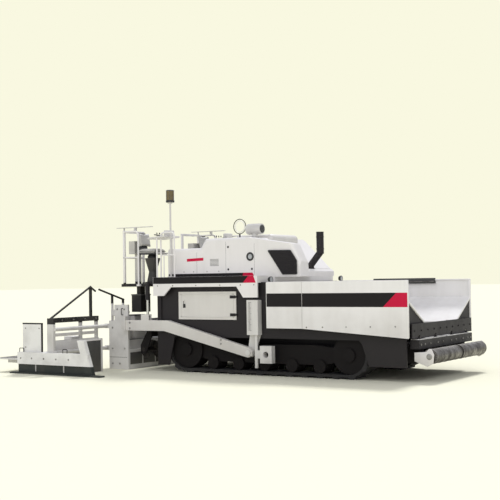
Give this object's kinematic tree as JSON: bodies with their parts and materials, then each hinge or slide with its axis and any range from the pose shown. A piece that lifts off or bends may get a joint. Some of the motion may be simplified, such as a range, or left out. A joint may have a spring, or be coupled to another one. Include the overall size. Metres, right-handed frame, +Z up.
{
  "type": "tracked asphalt paver",
  "caption": "Tracked road paver with a folding hopper, push rollers, augers, an operator deck and a tow-arm screed whose side extensions slide out.",
  "frame": {"origin": "on the ground under the middle of the overall box", "axes": "+X forward towards the hopper, +Y to the left of the machine, +Z up"},
  "size_m": [9.4, 6.2006, 3.82],
  "materials": {
    "painted_white": "satin",
    "painted_grey": "satin",
    "painted_black": "satin",
    "seat_vinyl": "matte",
    "track_rubber": "matte",
    "bare_steel": "worn",
    "amber_lens": "gloss"
  },
  "bodies": {
    "tractor": {"air_precleaner": "painted_grey", "auger_frame": "painted_black", "beacon": "amber_lens", "beacon_mast": "painted_black", "conveyor_trough": "bare_steel", "engine_block": "painted_black", "engine_hood": "painted_white", "exhaust_stack": "painted_black", "fender_left": "painted_black", "fender_right": "painted_black", "hopper_rear": "painted_white", "lift_cylinder_left": "painted_black", "lift_cylinder_right": "painted_black", "main_frame": "painted_black", "operator_platform": "painted_black", "side_grille": "painted_black", "side_skirt_left": "painted_white", "side_skirt_right": "painted_white", "tow_point_left": "painted_white", "tow_point_right": "painted_white", "track_belt_left": "track_rubber", "track_belt_right": "track_rubber", "undercarriage_left": "painted_black", "undercarriage_right": "painted_black"},
    "apron": {"hopper_apron": "painted_black"},
    "yoke": {"roller_yoke": "bare_steel"},
    "screed": {"screed_frame": "painted_grey", "tow_arm_right": "painted_grey", "tow_arm_left": "painted_grey"},
    "wing_right": {"hopper_wing_right": "painted_white"},
    "roller_right": {"push_roller_right": "bare_steel"},
    "door_right": {"service_door_right": "painted_grey"},
    "swivel_seat_right": {"seat_right": "seat_vinyl"},
    "rod_right": {"lift_rod_right": "bare_steel"},
    "extension_right": {"screed_extension_right": "painted_grey"},
    "gate_right": {"end_gate_right": "painted_white"},
    "screw_right": {"auger_right": "bare_steel"},
    "wing_left": {"hopper_wing_left": "painted_white"},
    "roller_left": {"push_roller_left": "bare_steel"},
    "door_left": {"service_door_left": "painted_grey"},
    "swivel_seat_left": {"seat_left": "seat_vinyl"},
    "rod_left": {"lift_rod_left": "bare_steel"},
    "extension_left": {"screed_extension_left": "painted_grey"},
    "gate_left": {"end_gate_left": "painted_white"},
    "screw_left": {"auger_left": "bare_steel"}
  },
  "joints": [
    {"name": "wing_fold_right", "type": "hinge", "parent": "tractor", "child": "wing_right", "pos_m": [3.185, -0.68, 1], "axis": [-1, 0, 0], "range_deg": [0, 50]},
    {"name": "roller_spin_right", "type": "hinge", "parent": "yoke", "child": "roller_right", "pos_m": [4.565, -0.645, 0.47], "axis": [0, 1, 0], "continuous": true},
    {"name": "door_swing_right", "type": "hinge", "parent": "tractor", "child": "door_right", "pos_m": [0.48, -1.423, 1.385], "axis": [0, 0, 1], "range_deg": [0, 95]},
    {"name": "seat_swivel_right", "type": "hinge", "parent": "tractor", "child": "swivel_seat_right", "pos_m": [-1.89, -1.12, 2.4], "axis": [0, 0, 1], "range_deg": [-15, 15]},
    {"name": "lift_rod_slide_right", "type": "slide", "parent": "tractor", "child": "rod_right", "axis": [0, 0, 1], "range_m": [0, 0.275]},
    {"name": "extension_slide_right", "type": "slide", "parent": "screed", "child": "extension_right", "axis": [0, 1, 0], "range_m": [0, 1.44]},
    {"name": "gate_lift_right", "type": "slide", "parent": "extension_right", "child": "gate_right", "axis": [0, 0, 1], "range_m": [0, 0.12]},
    {"name": "auger_spin_right", "type": "hinge", "parent": "tractor", "child": "screw_right", "pos_m": [-1.99, -0.73, 0.44], "axis": [0, 1, 0], "continuous": true},
    {"name": "wing_fold_left", "type": "hinge", "parent": "tractor", "child": "wing_left", "pos_m": [3.185, 0.68, 1], "axis": [1, 0, 0], "range_deg": [0, 50]},
    {"name": "roller_spin_left", "type": "hinge", "parent": "yoke", "child": "roller_left", "pos_m": [4.565, 0.645, 0.47], "axis": [0, 1, 0], "continuous": true},
    {"name": "door_swing_left", "type": "hinge", "parent": "tractor", "child": "door_left", "pos_m": [0.48, 1.423, 1.385], "axis": [0, 0, -1], "range_deg": [0, 95]},
    {"name": "seat_swivel_left", "type": "hinge", "parent": "tractor", "child": "swivel_seat_left", "pos_m": [-1.89, 1.12, 2.4], "axis": [0, 0, 1], "range_deg": [-15, 15]},
    {"name": "lift_rod_slide_left", "type": "slide", "parent": "tractor", "child": "rod_left", "axis": [0, 0, 1], "range_m": [0, 0.275]},
    {"name": "extension_slide_left", "type": "slide", "parent": "screed", "child": "extension_left", "axis": [0, -1, 0], "range_m": [0, 1.44]},
    {"name": "gate_lift_left", "type": "slide", "parent": "extension_left", "child": "gate_left", "axis": [0, 0, 1], "range_m": [0, 0.12]},
    {"name": "auger_spin_left", "type": "hinge", "parent": "tractor", "child": "screw_left", "pos_m": [-1.99, 0.73, 0.44], "axis": [0, 1, 0], "continuous": true},
    {"name": "apron_tilt", "type": "hinge", "parent": "tractor", "child": "apron", "pos_m": [4.304, 0, 0.8], "axis": [0, 1, 0], "range_deg": [0, 50]},
    {"name": "yoke_swing", "type": "hinge", "parent": "tractor", "child": "yoke", "pos_m": [4.33, 0, 0.47], "axis": [0, 0, 1], "range_deg": [-5, 5]},
    {"name": "screed_lift", "type": "hinge", "parent": "tractor", "child": "screed", "pos_m": [0.84, 0, 0.46], "axis": [0, 1, 0], "range_deg": [0, 6]}
  ],
  "couplings": [
    {"joint": "lift_rod_slide_right", "follows": "screed_lift", "m_per_rad": 2.58},
    {"joint": "lift_rod_slide_left", "follows": "screed_lift", "m_per_rad": 2.58}
  ]
}
